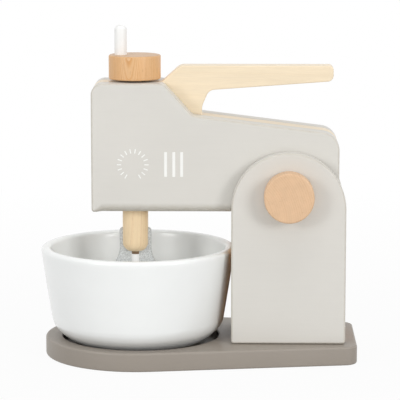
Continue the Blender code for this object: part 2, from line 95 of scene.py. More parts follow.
def sawn_outline(corners, chord=0.0005, run=whole_edge):
    """Closed outline of (x, y, radius) corners, with its outward normals.

    A corner's arc touches both edges at r / tan(half angle) from the sharp corner. Arcs get a
    point every chord, and straight edges one every run.
    """
    table = np.array(corners, float)
    spots, radii = table[:, :2], table[:, 2]
    back, ahead = np.roll(spots, 1, 0) - spots, np.roll(spots, -1, 0) - spots
    back /= np.linalg.norm(back, axis=1)[:, None]
    ahead /= np.linalg.norm(ahead, axis=1)[:, None]
    half = np.arccos(np.clip((back * ahead).sum(1), -1, 1)) / 2
    middle = (back + ahead) / np.linalg.norm(back + ahead, axis=1)[:, None]
    centres = spots + middle * (radii / np.sin(half))[:, None]
    bend = back[:, 0] * ahead[:, 1] - back[:, 1] * ahead[:, 0]
    following = np.roll(spots, -1, 0)
    round_way = np.sign((spots[:, 0] * following[:, 1] - spots[:, 1] * following[:, 0]).sum())
    outward = -np.sign(bend) * round_way
    starts = spots + back * (radii / np.tan(half))[:, None] - centres
    first = np.arctan2(starts[:, 1], starts[:, 0])
    turns = -np.sign(bend) * (np.pi - 2 * half)
    points, normals = [], []
    for centre, radius, angle, turn, side in zip(centres, radii, first, turns, outward):
        steps = max(fewest_arc_steps, math.ceil(radius * abs(turn) / chord))
        angles = angle + turn * np.linspace(0, 1, steps + 1)
        ray = np.stack([np.cos(angles), np.sin(angles)], 1)
        points.append(centre + radius * ray)
        normals.append(side * ray)
    runs = []
    for index, (arc, facing) in enumerate(zip(points, normals)):
        after = points[(index + 1) % len(points)][0]
        count = math.ceil(np.linalg.norm(after - arc[-1]) / run)
        shares = np.arange(1, count)[:, None] / max(count, 1)
        runs.append((arc[-1] + shares * (after - arc[-1]), np.repeat(facing[-1:], max(count - 1, 0), 0)))
    path = np.concatenate([part for arc, run_part in zip(points, runs) for part in (arc, run_part[0])])
    faces = np.concatenate([part for arc, run_part in zip(normals, runs) for part in (arc, run_part[1])])
    return tidy_outline(path, faces)


def skin(name, rings, pole_low=None, pole_high=None, rim=None):
    """Closed skin over rings of N points each: quads between rings, and at each end one flat
    face, or a fan to a pole. The rim mask, one value a ring, is kept as a point attribute."""
    count, around = rings.shape[:2]
    index = np.arange(count * around).reshape(count, around)
    beside = np.roll(index, -1, 1)
    faces = np.stack([index[:-1], beside[:-1], beside[1:], index[1:]], -1).reshape(-1, 4).tolist()
    points = rings.reshape(-1, 3)
    masks = np.repeat(np.zeros(count) if rim is None else np.asarray(rim, float), around)
    for pole, ring, beside_ring in ((pole_low, index[0], beside[0]),
                                    (pole_high, index[-1], beside[-1])):
        if pole is None:
            faces.append(ring.tolist())
        else:
            centre = np.full(around, len(points))
            faces += np.stack([ring, beside_ring, centre], -1).tolist()
            points = np.vstack([points, pole])
            masks = np.append(masks, 0)
    mesh = bpy.data.meshes.new(name)
    mesh.from_pydata(points.tolist(), [], faces)
    work = bmesh.new()
    work.from_mesh(mesh)
    bmesh.ops.recalc_face_normals(work, faces=work.faces)
    work.to_mesh(mesh)
    work.free()
    mesh.attributes.new("rim", "FLOAT", "POINT").data.foreach_set("value", masks.astype(np.float32))
    mesh.shade_smooth()
    mesh.set_sharp_from_angle(angle=sharp_angle)
    piece = bpy.data.objects.new(name, mesh)
    bpy.context.scene.collection.objects.link(piece)
    return piece


def rim_profile(low, high, low_rim, high_rim, steps=8):
    """Inset and height of a board's section: flat, a quarter round, the straight side, a
    quarter round, flat. A rim is one radius, or one for each point of the outline. The third
    value is the rim mask, 1 in the middle of a quarter round."""
    turn = np.linspace(0, np.pi / 2, steps + 1)[:, None]
    low_rim, high_rim = np.broadcast_arrays(np.atleast_1d(low_rim), np.atleast_1d(high_rim))
    flat = np.zeros((1, len(low_rim)))
    inset = np.concatenate([flat + low_rim + flat_margin, low_rim * (1 - np.sin(turn)),
                            high_rim * (1 - np.cos(turn)), flat + high_rim + flat_margin])
    height = np.concatenate([flat + low, low + low_rim * (1 - np.cos(turn)),
                             high - high_rim * (1 - np.sin(turn)), flat + high])
    mask = np.concatenate([[0], np.sin(2 * turn[:, 0]), np.sin(2 * turn[:, 0]), [0]])
    return inset, height, mask


def stand_in_place(piece, material, body, slot, *nodes):
    """Give a piece its finish, let it ride on its body and take the place of its solids."""
    piece.data.materials.append(material)
    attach(piece, body)
    if nodes:
        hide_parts(*nodes)
    return piece


def wired(tree, kind, values=(), **settings):
    """Add a node, set its properties, and set or link its inputs from (socket, value) pairs."""
    knot = tree.nodes.new("ShaderNode" + kind)
    for key, value in settings.items():
        setattr(knot, key, value)
    for socket, value in values:
        if isinstance(value, bpy.types.NodeSocket):
            tree.links.new(value, knot.inputs[socket])
        else:
            knot.inputs[socket].default_value = value
    return knot


def node_group(name, inputs, outputs):
    """Start a node group with (name, socket type) inputs and outputs, and return its parts."""
    group = bpy.data.node_groups.new(name, "ShaderNodeTree")
    for label, kind in inputs:
        group.interface.new_socket(label, in_out="INPUT", socket_type="NodeSocket" + kind)
    for label, kind in outputs:
        group.interface.new_socket(label, in_out="OUTPUT", socket_type="NodeSocket" + kind)
    return group, group.nodes.new("NodeGroupInput").outputs, group.nodes.new("NodeGroupOutput").inputs


def math_node(tree, operation, first, second=0.0, third=None):
    """One Math node's result."""
    values = [(0, first), (1, second)] + ([] if third is None else [(2, third)])
    return wired(tree, "Math", values, operation=operation).outputs[0]


def noise(tree, place, scale, detail=2.0, rough=0.5):
    """A 3-D noise value round 0.5, with scale features to the metre."""
    return wired(tree, "TexNoise", [("Vector", place), ("Scale", scale), ("Detail", detail),
                                    ("Roughness", rough)]).outputs["Fac"]


def mixed(tree, factor, first, second):
    """Two colours mixed by a factor."""
    return wired(tree, "Mix", [(0, factor), (6, first), (7, second)], data_type="RGBA").outputs[2]


def stretched(tree, place, amounts):
    """A place multiplied part by part, to draw a pattern out along one direction."""
    return wired(tree, "VectorMath", [(0, place), (1, amounts)], operation="MULTIPLY").outputs[0]


# Paint over sanded wood: slow changes of tone, fine streaks of the grain under the coat, a
# slight orange peel, and a rim colour at the rims: worn paint on some finishes, painted shade on others.
paint_skin, given, result = node_group(
    "paint_skin",
    [("Place", "Vector"), ("Paint", "Color"), ("Rim_wear_and_shade", "Color"), ("Rim", "Float"),
     ("Streaks", "Float"), ("Gloss", "Float")],
    [("Color", "Color"), ("Roughness", "Float"), ("Height", "Float")])
tone_swing = 0.09
gloss_swing = 0.16
streak_relief = 0.5
paint_relief = 0.00008
slow = noise(paint_skin, given["Place"], scale=16.0, detail=3.0)
streak = noise(paint_skin, stretched(paint_skin, given["Place"], (0.05, 1.0, 1.0)), scale=620.0,
               detail=3.0, rough=0.6)
peel = noise(paint_skin, given["Place"], scale=1500.0, detail=1.0)
patch = noise(paint_skin, given["Place"], scale=210.0, detail=2.0)
tone = math_node(paint_skin, "MULTIPLY_ADD", math_node(paint_skin, "SUBTRACT", slow, 0.5), tone_swing,
                 1.0)
lines = math_node(paint_skin, "MULTIPLY", math_node(paint_skin, "SUBTRACT", streak, 0.5),
                  given["Streaks"])
tinted = wired(paint_skin, "HueSaturation",
               [("Value", math_node(paint_skin, "ADD", tone, lines)),
                ("Color", given["Paint"])]).outputs[0]
# At the rims the rim colour is mixed in, in patches: worn paint, or painted shade where a finish's rim
# colour is darker.
rim_wear_and_shade_share = math_node(paint_skin, "MULTIPLY", given["Rim"],
                    wired(paint_skin, "MapRange", [("Value", patch), ("From Min", 0.3), ("From Max", 0.7),
                                                   ("To Min", 0.35), ("To Max", 0.6)]).outputs[0])
paint_skin.links.new(mixed(paint_skin, rim_wear_and_shade_share, tinted, given["Rim_wear_and_shade"]), result["Color"])
paint_skin.links.new(math_node(paint_skin, "MULTIPLY_ADD", math_node(paint_skin, "SUBTRACT", patch, 0.5),
                               gloss_swing, given["Gloss"]), result["Roughness"])
paint_skin.links.new(math_node(paint_skin, "MULTIPLY_ADD", streak, streak_relief, peel),
                     result["Height"])


def painted(name, paint, rim_wear_and_shade, streaks, gloss, bump, coat=0.0, coat_gloss=0.12):
    """A paint finish on the paint_skin group. The coat is the lacquer's gloss over it."""
    material = bpy.data.materials.new(name)
    material.use_nodes = True
    tree = material.node_tree
    shader = tree.nodes["Principled BSDF"]
    place = wired(tree, "TexCoord").outputs["Object"]
    rim = wired(tree, "Attribute", attribute_name="rim").outputs["Fac"]
    group = wired(tree, "Group", node_tree=paint_skin)
    for socket, value in (("Paint", (*paint, 1)), ("Rim_wear_and_shade", (*rim_wear_and_shade, 1)), ("Streaks", streaks),
                          ("Gloss", gloss)):
        group.inputs[socket].default_value = value
    tree.links.new(place, group.inputs["Place"])
    tree.links.new(rim, group.inputs["Rim"])
    relief = wired(tree, "Bump", [("Height", group.outputs["Height"]), ("Strength", bump),
                                  ("Distance", paint_relief)])
    for socket, value in (("Base Color", group.outputs["Color"]),
                          ("Roughness", group.outputs["Roughness"]),
                          ("Normal", relief.outputs[0])):
        tree.links.new(value, shader.inputs[socket])
    shader.inputs["Coat Weight"].default_value = coat
    shader.inputs["Coat Roughness"].default_value = coat_gloss
    return material


taupe_paint = painted("taupe_paint", taupe, taupe_worn, streaks=0.05, gloss=0.52, bump=0.08,
                      coat=taupe_coat, coat_gloss=0.22)
tree = taupe_paint.node_tree
shader = tree.nodes["Principled BSDF"]
# Painted shade: the "cut" attribute mixes the dark brown into the pocket's wall and floor and takes the
# coat off there.
pocket_shade_mask = wired(tree, "Attribute", attribute_name="cut").outputs["Fac"]
top_coat = shader.inputs["Base Color"].links[0].from_socket
tree.links.new(mixed(tree, pocket_shade_mask, top_coat, (*pocket_painted_shade, 1)), shader.inputs["Base Color"])
tree.links.new(math_node(tree, "MULTIPLY_ADD", pocket_shade_mask, -taupe_coat, taupe_coat),
               shader.inputs["Coat Weight"])
base_low, base_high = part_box("base_board")
nose_radius = base_high.y
bowl_x = base_low.x + nose_radius
reach = base_high.x - bowl_x
taper = (math.asin(nose_radius / math.hypot(reach, base_end_half))
         - math.atan2(base_end_half, reach))
nose_half = base_end_half + (reach + nose_radius) * math.tan(taper)
outline, facing = sawn_outline([(base_low.x, -nose_half, nose_radius),
                                (base_high.x, -base_end_half, base_end_corner),
                                (base_high.x, base_end_half, base_end_corner),
                                (base_low.x, nose_half, nose_radius)], base_chord, base_run)
inset, height, mask = rim_profile(base_low.z, base_high.z, base_rim, base_rim)
sides = outline[None] - inset[:, :, None] * facing[None]
pocket_x = bowl_x + pocket_offset
from_axis = outline - (pocket_x, 0)
ray = from_axis / np.linalg.norm(from_axis, axis=1)[:, None]
bend_down = np.linspace(0, np.pi / 2, fillet_points)
pocket_r = np.concatenate([[pocket_radius + pocket_chamfer + flat_margin,
                            pocket_radius + pocket_chamfer, pocket_radius],
                           pocket_radius - pocket_fillet * (1 - np.cos(bend_down)),
                           pocket_radius * np.array(pocket_floor_shares)])
floor_z = base_high.z - pocket_depth
pocket_z = np.concatenate([[base_high.z, base_high.z, base_high.z - pocket_chamfer],
                           floor_z + pocket_fillet * (1 - np.sin(bend_down)), [floor_z, floor_z]])
pocket = np.array([pocket_x, 0]) + pocket_r[:, None, None] * ray[None]
shares = np.array(top_ring_shares)[:, None, None]
top = sides[-1][None] * (1 - shares) + pocket[0][None] * shares
plan = np.concatenate([sides, top, pocket])
levels = np.concatenate([height[:, 0], [base_high.z] * len(top_ring_shares), pocket_z])
rings = np.concatenate([plan, np.broadcast_to(levels[:, None, None], plan.shape[:2] + (1,))], -1)
rubbed_rings = np.zeros(len(levels))
rubbed_rings[:len(mask)] = mask
rubbed_rings[len(mask):len(mask) + len(pocket_rubbing)] = pocket_rubbing
base_board = skin("base_board_painted", rings, pole_high=(pocket_x, 0, floor_z), rim=rubbed_rings)
# The share of painted shade in the pocket, one value a ring, kept as the "cut" attribute.
pocket_shade_rings = np.zeros(len(levels))
pocket_shade_rings[-len(pocket_shade_shares):] = pocket_shade_shares
pocket_shade_values = np.append(np.repeat(pocket_shade_rings, len(outline)), 0)
base_board.data.attributes.new("cut", "FLOAT", "POINT").data.foreach_set(
    "value", pocket_shade_values.astype(np.float32))
ring_turn = np.linspace(0, 2 * np.pi, recess_segments, endpoint=False)
cutters = []
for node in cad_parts:
    if node.startswith("base_screw"):
        low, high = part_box(node)
        centre_x, centre_y = (low.x + high.x) / 2, (low.y + high.y) / 2
        recess = [np.stack([centre_x + radius * np.cos(ring_turn), centre_y + radius * np.sin(ring_turn),
                            np.full(recess_segments, level)], -1)
                  for radius, level in ((recess_radius, -recess_overrun),
                                        (recess_radius, low.z + recess_clearance),
                                        (recess_neck, low.z + recess_cone))]
        cutters.append(skin(node + "_recess", np.array(recess)))
        cut = base_board.modifiers.new("recess", "BOOLEAN")
        cut.operation, cut.solver, cut.object = "DIFFERENCE", "EXACT", cutters[-1]
seen_by = bpy.context.evaluated_depsgraph_get()
bored = bpy.data.meshes.new_from_object(base_board.evaluated_get(seen_by))
bored.set_sharp_from_angle(angle=sharp_angle)
base_board.modifiers.clear()
base_board.data = bored
for cutter in cutters:
    bpy.data.objects.remove(cutter)
stand_in_place(base_board, taupe_paint, "stand", "taupe_paint", "base_board")


# Column cheeks: two boards with a half-round top, their rims sanded round, under a warm grey
# satin paint. They stand on the base and carry the pivot axle.
board_rim = 0.0018
cheek_corner = 0.0024
corner_share = 0.1
foot_lead = 0.0025
foot_run = 0.006
foot_step = 0.001
level_edge = -0.999
grey = (0.702, 0.682, 0.636)
# The rim colour is painted shade: a darker warm grey laid along the rounded rims of the cheeks and the
# head's boards.
grey_rim_shade = (0.54, 0.495, 0.41)
grey_paint = painted("grey_paint", grey, grey_rim_shade, streaks=0.03, gloss=0.40, bump=0.12)


def board(name, corners, low, high, low_rim, high_rim, foot_rim=(0, 0)):
    """Upright board: an x-z outline carried along y from low to high, with rounded rims.

    Where the outline faces down, a rim grows by its foot rim, smoothly away from the corners.
    """
    path, facing = sawn_outline(corners, run=foot_step if max(foot_rim) else whole_edge)
    ends = np.minimum(path[:, 0] - path[:, 0].min(), path[:, 0].max() - path[:, 0])
    growing = corner_share + (1 - corner_share) * np.clip((ends - foot_lead) / foot_run, 0, 1)
    share = np.where(facing[:, 1] < level_edge, growing, corner_share * np.clip(-facing[:, 1], 0, 1))
    inset, depth, mask = rim_profile(low, high, low_rim + share * foot_rim[0],
                                     high_rim + share * foot_rim[1])
    plan = path[None] - inset[:, :, None] * facing[None]
    rings = np.stack([plan[..., 0], np.broadcast_to(depth, plan.shape[:2]), plan[..., 1]], -1)
    return skin(name, rings, rim=mask)


for side in ("front", "back"):
    node = "column_cheek_" + side
    low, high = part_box(node)
    half = (high.x - low.x) / 2
    cheek = board(node + "_painted", [(low.x, low.z, cheek_corner), (low.x, high.z, half),
                                      (high.x, high.z, half), (high.x, low.z, cheek_corner)],
                  low.y, high.y, board_rim, board_rim)
    stand_in_place(cheek, grey_paint, "stand", "grey_paint", node)


# Bare wood: growth rings round the heart of the log, which runs along Z of the given place,
# with late wood darker, fine fibres along the log and short flecks.
wood_grain, given, result = node_group(
    "wood_grain",
    [("Place", "Vector"), ("Early", "Color"), ("Late", "Color"), ("Fleck", "Color"),
     ("Spacing", "Float"), ("Wander", "Float"), ("Contrast", "Float"), ("Flecks", "Float"),
     ("Gloss", "Float")],
    [("Color", "Color"), ("Roughness", "Float"), ("Height", "Float")])
ring_swing, ring_least = 0.7, 0.3
fibre_swing, broad_swing, fibre_gloss_swing = 0.16, 0.16, 0.2
grain_relief = 0.00006
drift = wired(wood_grain, "TexNoise", [("Vector", stretched(wood_grain, given["Place"], (1, 1, 0.25))),
                                       ("Scale", 22.0), ("Detail", 2.0)]).outputs["Color"]
drift = wired(wood_grain, "VectorMath", [(0, drift), (1, (0.5, 0.5, 0.5))],
              operation="SUBTRACT").outputs[0]
wander = wired(wood_grain, "CombineXYZ", [(axis, given["Wander"]) for axis in range(3)]).outputs[0]
bent = wired(wood_grain, "VectorMath", [(0, drift), (1, wander), (2, given["Place"])],
             operation="MULTIPLY_ADD").outputs[0]
across = wired(wood_grain, "VectorMath", [(0, stretched(wood_grain, bent, (1, 1, 0)))],
               operation="LENGTH").outputs["Value"]
year = math_node(wood_grain, "DIVIDE", across, given["Spacing"])
season = math_node(wood_grain, "FRACT", year)
late_wood = wired(wood_grain, "ValToRGB", [(0, season)])
for position, value in ((0.0, 0.12), (0.5, 0.22), (0.88, 1.0), (1.0, 0.12)):
    stop = (late_wood.color_ramp.elements.new(position) if 0 < position < 1
            else late_wood.color_ramp.elements[int(position)])
    stop.color = (value, value, value, 1)
whole_year = math_node(wood_grain, "FLOOR", year)
strength = wired(wood_grain, "TexWhiteNoise", [("W", whole_year)], noise_dimensions="1D").outputs[0]
ring_weight = math_node(wood_grain, "MULTIPLY_ADD", strength, ring_swing, ring_least)
weight = math_node(wood_grain, "MULTIPLY", ring_weight, given["Contrast"])
late_share = math_node(wood_grain, "MULTIPLY", late_wood.outputs[0], weight)
fibre = noise(wood_grain, stretched(wood_grain, given["Place"], (1, 1, 0.035)), scale=2400.0,
              detail=2.0, rough=0.6)
broad = noise(wood_grain, stretched(wood_grain, given["Place"], (1, 1, 0.12)), scale=150.0, detail=2.0)
speck = noise(wood_grain, stretched(wood_grain, given["Place"], (1, 1, 0.14)), scale=1300.0, detail=1.0)
fleck_share = wired(wood_grain, "MapRange", [("Value", speck), ("From Min", 0.62), ("From Max", 0.76),
                                             ("To Max", given["Flecks"])]).outputs[0]
ringed = mixed(wood_grain, late_share, given["Early"], given["Late"])
value = math_node(wood_grain, "MULTIPLY_ADD", math_node(wood_grain, "SUBTRACT", fibre, 0.5), fibre_swing,
                  math_node(wood_grain, "MULTIPLY_ADD", math_node(wood_grain, "SUBTRACT", broad, 0.5),
                            broad_swing, 1.0))
shaded = wired(wood_grain, "HueSaturation", [("Value", value), ("Color", ringed)]).outputs[0]
wood_grain.links.new(mixed(wood_grain, fleck_share, shaded, given["Fleck"]), result["Color"])
wood_grain.links.new(math_node(wood_grain, "MULTIPLY_ADD", math_node(wood_grain, "SUBTRACT", fibre, 0.5),
                               fibre_gloss_swing, given["Gloss"]), result["Roughness"])
wood_grain.links.new(math_node(wood_grain, "SUBTRACT", fibre, fleck_share), result["Height"])


def bare_wood(name, early, late, fleck, heart, turn, spacing, wander=0.006, contrast=0.5, flecks=0.35,
              gloss=0.5, bump=0.3, end_tone=1.0):
    """A wood finish: heart is a point on the log's axis, and turn brings the log onto Z.

    Faces cut across the log take the end tone, as end grain soaks up more oil.
    """
    material = bpy.data.materials.new(name)
    material.use_nodes = True
    tree = material.node_tree
    shader = tree.nodes["Principled BSDF"]
    shifted = wired(tree, "VectorMath", [(0, wired(tree, "TexCoord").outputs["Object"]), (1, heart)],
                    operation="SUBTRACT").outputs[0]
    place = wired(tree, "Mapping", [("Vector", shifted),
                                    ("Rotation", [math.radians(angle) for angle in turn])],
                  vector_type="POINT").outputs[0]
    group = wired(tree, "Group", node_tree=wood_grain)
    for socket, value in (("Early", (*early, 1)), ("Late", (*late, 1)), ("Fleck", (*fleck, 1)),
                          ("Spacing", spacing), ("Wander", wander), ("Contrast", contrast),
                          ("Flecks", flecks), ("Gloss", gloss)):
        group.inputs[socket].default_value = value
    tree.links.new(place, group.inputs["Place"])
    relief = wired(tree, "Bump", [("Height", group.outputs["Height"]), ("Strength", bump),
                                  ("Distance", grain_relief)])
    facing = wired(tree, "Mapping", [("Vector", wired(tree, "TexCoord").outputs["Normal"]),
                                     ("Rotation", [math.radians(angle) for angle in turn])],
                   vector_type="POINT").outputs[0]
    along = wired(tree, "SeparateXYZ", [("Vector", facing)]).outputs["Z"]
    cut_across = wired(tree, "MapRange", [("Value", math_node(tree, "ABSOLUTE", along)), ("From Min", 0.5),
                                          ("From Max", 0.95), ("To Min", 1.0), ("To Max", end_tone)])
    oiled = wired(tree, "HueSaturation", [("Saturation", cut_across.outputs[0]),
                                          ("Value", cut_across.outputs[0]),
                                          ("Color", group.outputs["Color"])]).outputs[0]
    for socket, value in (("Base Color", oiled),
                          ("Roughness", group.outputs["Roughness"]),
                          ("Normal", relief.outputs[0])):
        tree.links.new(value, shader.inputs[socket])
    return material


# Column panels: two plain boards of oiled beech between the cheeks, which keep them apart. The
# head rests on the front one, and its tail leans on the rear one when it is tipped up.
panel_rim = 0.0008
panel_corner = 0.0014
beech_early = (0.80, 0.455, 0.19)
beech_late = (0.58, 0.285, 0.10)
beech_fleck = (0.42, 0.22, 0.09)
for side in ("front", "rear"):
    node = f"column_{side}_panel"
    low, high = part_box(node)
    finish = bare_wood(f"beech_{side}_panel", beech_early, beech_late, beech_fleck,
                       heart=(low.x - 0.03, 0.008, 0), turn=(0, 2.0, 0), spacing=0.0034, contrast=0.55)
    panel = board(node + "_oiled", [(low.x, low.z, panel_corner), (high.x, low.z, panel_corner),
                                    (high.x, high.z, panel_corner), (low.x, high.z, panel_corner)],
                  low.y, high.y, panel_rim, panel_rim)
    stand_in_place(panel, finish, "stand", "beech", node)


# Base screws: countersunk zinc-plated steel, from below through the base into the cheeks.
steel = bpy.data.materials.new("zinc_steel")
steel.use_nodes = True
shader = steel.node_tree.nodes["Principled BSDF"]
shader.inputs["Metallic"].default_value = 1.0
turned_marks = noise(steel.node_tree, wired(steel.node_tree, "TexCoord").outputs["Object"], scale=1800.0)
steel_tone = wired(steel.node_tree, "ValToRGB", [(0, turned_marks)])
steel_tone.color_ramp.elements[0].color = (0.42, 0.42, 0.43, 1)
steel_tone.color_ramp.elements[1].color = (0.66, 0.66, 0.67, 1)
steel.node_tree.links.new(steel_tone.outputs[0], shader.inputs["Base Color"])
steel.node_tree.links.new(math_node(steel.node_tree, "MULTIPLY_ADD", turned_marks, 0.3, 0.2),
                          shader.inputs["Roughness"])
for node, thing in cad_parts.items():
    if node.startswith("base_screw"):
        thing.data.materials.clear()
        thing.data.materials.append(steel)


# Head's outer boards: the painted front and rear of the mixer's head, with a sloping back. The
# outer rims are sanded well round, and the inner ones only eased where they are glued.
head_low, head_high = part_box("head_board_front")
mixer_low, mixer_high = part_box("beater_shaft")
mixer_x = (mixer_low.x + mixer_high.x) / 2
neck_fall = 0.0262
tail_fall = 0.0412
brow_reach, neck_reach = 0.0242, 0.0477
chin_rounding, forehead_rounding = 0.0025, 0.0092
brow_rounding, neck_rounding = 0.006, 0.007
tail_rounding, tail_foot_rounding = 0.015, 0.012
brow_x, neck_x = mixer_x + brow_reach, mixer_x + neck_reach
eased_rim = 0.0004
side_corners = [(head_low.x, head_low.z, chin_rounding), (head_low.x, head_high.z, forehead_rounding),
                (brow_x, head_high.z, brow_rounding), (neck_x, head_high.z - neck_fall, neck_rounding),
                (head_high.x, head_high.z - tail_fall, tail_rounding),
                (head_high.x, head_low.z, tail_foot_rounding)]
foot_rim = 0.0056
for side, rims, foot in (("front", (board_rim, eased_rim), (foot_rim, 0)),
                         ("back", (eased_rim, board_rim), (0, foot_rim))):
    node = "head_board_" + side
    low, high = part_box(node)
    stand_in_place(board(node + "_painted", side_corners, low.y, high.y, *rims, foot), grey_paint,
                   "head", "grey_paint", node)


# Head's middle board: varnished pale wood, cut in one piece with the handle. Its edge shows as
# a pale strip between the painted boards, and its grain runs along the handle.
core_low, core_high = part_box("head_core_board")
handle_rim = 0.001
handle_top = core_high.z
head_top = head_high.z
handle_foot_x = mixer_x + 0.0226
handle_end_x = head_high.x - 0.0046
handle_rise_run = 0.0148
handle_end_height = 0.0127
handle_root_height = 0.0201
palm_reach = 0.0060
waist_x = neck_x + 0.0075
waist_height = 0.0067
rise_rounding, shoulder_rounding = 0.002, 0.009
tip_rounding, palm_tip_rounding = 0.0036, 0.0051
palm_rounding, waist_rounding, crotch_rounding = 0.007, 0.016, 0.0015
slope = (neck_fall - tail_fall) / (head_high.x - neck_x)
crotch_z = head_top - neck_fall + slope * (waist_x - neck_x)
core_corners = [(head_low.x, head_low.z, chin_rounding), (head_low.x, head_top, forehead_rounding),
                (handle_foot_x, head_top, rise_rounding),
                (handle_foot_x + handle_rise_run, handle_top, shoulder_rounding),
                (handle_end_x, handle_top, tip_rounding),
                (handle_end_x, handle_top - handle_end_height, palm_tip_rounding),
                (waist_x + palm_reach, handle_top - handle_root_height, palm_rounding),
                (waist_x, crotch_z + waist_height, waist_rounding), (waist_x, crotch_z, crotch_rounding),
                (head_high.x, head_top - tail_fall, tail_rounding),
                (head_high.x, head_low.z, tail_foot_rounding)]
pale_wood = bare_wood("pale_wood", (0.905, 0.765, 0.56), (0.80, 0.62, 0.39), (0.70, 0.50, 0.29),
                      heart=(0, 0.028, 0.19), turn=(0, 88.5, 0), spacing=0.0042, wander=0.008,
                      contrast=0.14, flecks=0.08, gloss=0.34)
core = board("head_core_and_handle", core_corners, core_low.y, core_high.y, handle_rim, handle_rim)
stand_in_place(core, pale_wood, "head", "pale_wood", "head_core_board")


# Printed marks: white ink on the front of the head. Three bars, and a plain round scale of
# short strokes where a dial would be.
ink_thickness = 0.00006
bar_places = (0.0608, 0.0675, 0.0739)
bar_level, bar_length, bar_width = 0.1620, 0.0205, 0.0023
scale_place, scale_level, scale_radius = 0.0340, 0.1617, 0.0112
scale_from, scale_to, scale_step = -60, 240, 20
stroke_length, stroke_width = 0.0036, 0.0009
stroke_corner_share, stroke_chord_share = 0.2, 0.05
ink = painted("white_ink", (0.93, 0.93, 0.90), (0.80, 0.79, 0.76), streaks=0.02, gloss=0.45, bump=0.2)
face_y = head_low.y


def ink_strokes(name, centres, directions, length, width):
    """Flat printed strokes, one for each centre and direction in x-z, with eased corners.

    A stroke is a rectangle, length by width, swept along y by the ink's thickness.
    """
    ends = np.array([(1, -1), (1, 1), (-1, 1), (-1, -1)]) * (length / 2, width / 2)
    slot, _ = sawn_outline([(*end, width * stroke_corner_share) for end in ends],
                           width * stroke_chord_share)
    along = np.asarray(directions, float)
    side = np.stack([-along[:, 1], along[:, 0]], 1)
    flat = (np.asarray(centres, float)[:, None] + slot[None, :, :1] * along[:, None]
            + slot[None, :, 1:] * side[:, None])
    count, around = flat.shape[:2]
    layers = [np.stack([flat[..., 0], np.full((count, around), depth), flat[..., 1]], -1)
              for depth in (face_y + ink_thickness / 2, face_y - ink_thickness / 2)]
    points = np.stack(layers, 1).reshape(-1, 3)
    index = np.arange(count * 2 * around).reshape(count, 2, around)
    beside = np.roll(index, -1, 2)
    walls = np.stack([index[:, 0], beside[:, 0], beside[:, 1], index[:, 1]], -1).reshape(-1, 4)
    mesh = bpy.data.meshes.new(name)
    mesh.from_pydata(points.tolist(), [], walls.tolist() + index.reshape(-1, around).tolist())
    work = bmesh.new()
    work.from_mesh(mesh)
    bmesh.ops.recalc_face_normals(work, faces=work.faces)
    work.to_mesh(mesh)
    work.free()
    piece = bpy.data.objects.new(name, mesh)
    bpy.context.scene.collection.objects.link(piece)
    return piece


bar_count = len(bar_places)
bar_centres = np.stack([head_low.x + np.array(bar_places), np.full(bar_count, bar_level)], 1)
bars = ink_strokes("printed_bars", bar_centres, [(0, 1)] * bar_count, bar_length, bar_width)
stand_in_place(bars, ink, "head", "white_paint")
scale_centre = np.array([head_low.x + scale_place, scale_level])
scale_turn = np.radians(np.arange(scale_from, scale_to + 1, scale_step))
scale_rays = np.stack([np.cos(scale_turn), np.sin(scale_turn)], 1)
scale = ink_strokes("printed_scale", scale_centre + scale_radius * scale_rays, scale_rays,
                    stroke_length, stroke_width)
stand_in_place(scale, ink, "head", "white_paint")


# Pivot: a hardwood axle through cheeks and head, with a turned beech knob glued on each end.
# The knobs show end grain, because they are cut across the dowel.
def turned(name, profile, segments, centre, along="Z"):
    """Turned piece: a (radius, height) profile from axis to axis spun about Z or Y."""
    radius, height = np.asarray(profile, float).T
    inner = slice(1, -1)
    turn = np.linspace(0, 2 * np.pi, segments, endpoint=False)
    x = radius[inner, None] * np.cos(turn)
    y = radius[inner, None] * np.sin(turn)
    z = np.broadcast_to(height[inner, None], x.shape)
    parts = [x, y, z] if along == "Z" else [x, z, y]
    rings = np.stack(parts, -1) + np.asarray(centre, float)
    step = np.array((0, 0, 1) if along == "Z" else (0, 1, 0), float)
    return skin(name, rings, np.asarray(centre) + step * height[0], np.asarray(centre) + step * height[-1])


def disc_profile(radius, low, high, low_rim, high_rim, steps=7):
    """Half section of a disc or pin with a quarter round at each rim, from axis to axis."""
    inset, level, _ = rim_profile(low, high, low_rim, high_rim, steps)
    reach, level = radius - inset[:, 0], level[:, 0]
    flats = [(0, low), (reach[0] / 2, low)], [(reach[-1] / 2, high), (0, high)]
    return np.concatenate([flats[0], np.stack([reach, level], 1), flats[1]])


knob_rim = 0.0014
knob_segments = 128
knob_end_grain = bare_wood("beech_end_grain", (0.765, 0.515, 0.32), (0.66, 0.40, 0.215),
                           (0.55, 0.32, 0.16), heart=(0.026, 0, 0.118), turn=(90, 0, 0),
                           spacing=0.0018, wander=0.004, contrast=0.55, flecks=0.35, gloss=0.5)
for side in ("front", "back"):
    node = "pivot_knob_" + side
    low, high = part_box(node)
    middle = (low + high) / 2
    half = (high.y - low.y) / 2
    knob = turned(node + "_turned", disc_profile((high.x - low.x) / 2, -half, half, knob_rim, knob_rim),
                  knob_segments, middle, along="Y")
    stand_in_place(knob, knob_end_grain, "pivot_knobs", "beech", node)
dowel_wood = bare_wood("dowel_wood", (0.97, 0.76, 0.49), (0.84, 0.58, 0.33), (0.56, 0.37, 0.19),
                       heart=(mixer_x + 0.016, 0.02, 0), turn=(2.0, 1.5, 0), spacing=0.0017,
                       wander=0.004, contrast=0.6, flecks=0.3, gloss=0.42)
for node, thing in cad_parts.items():
    if "dowel" in node or node in ("pivot_axle", "drive_rod"):
        thing.data.materials.clear()
        thing.data.materials.append(dowel_wood)


